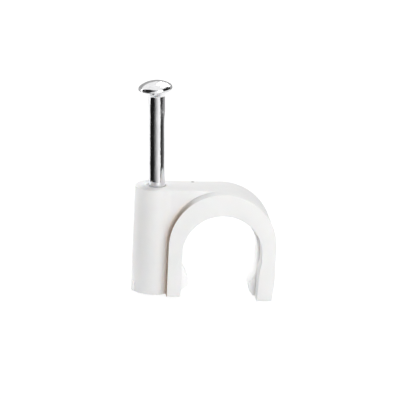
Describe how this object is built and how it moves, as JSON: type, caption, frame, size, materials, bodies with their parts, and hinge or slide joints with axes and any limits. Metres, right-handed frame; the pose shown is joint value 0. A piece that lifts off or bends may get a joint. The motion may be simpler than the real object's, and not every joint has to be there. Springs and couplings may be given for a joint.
{
  "type": "round cable clip with nail",
  "caption": "Moulded hook clip for a round cable, with a flanged arch, barbed legs and a bored boss that holds a masonry nail ready to drive.",
  "frame": {"origin": "middle of the bottom of the whole part's bounding box, level with the far foot, on the wall's side", "axes": "+X from the nail boss to the hook's far leg, +Y from the flanged front to the back along the cable, +Z away from the wall towards the nail's head"},
  "size_m": [0.0204, 0.0076, 0.0314],
  "materials": {
    "white_plastic": "satin, as moulded polyethylene",
    "zinc_steel": "bright zinc plating"
  },
  "bodies": {
    "root": {"clip_body": "white_plastic", "nail": "zinc_steel"}
  },
  "joints": []
}
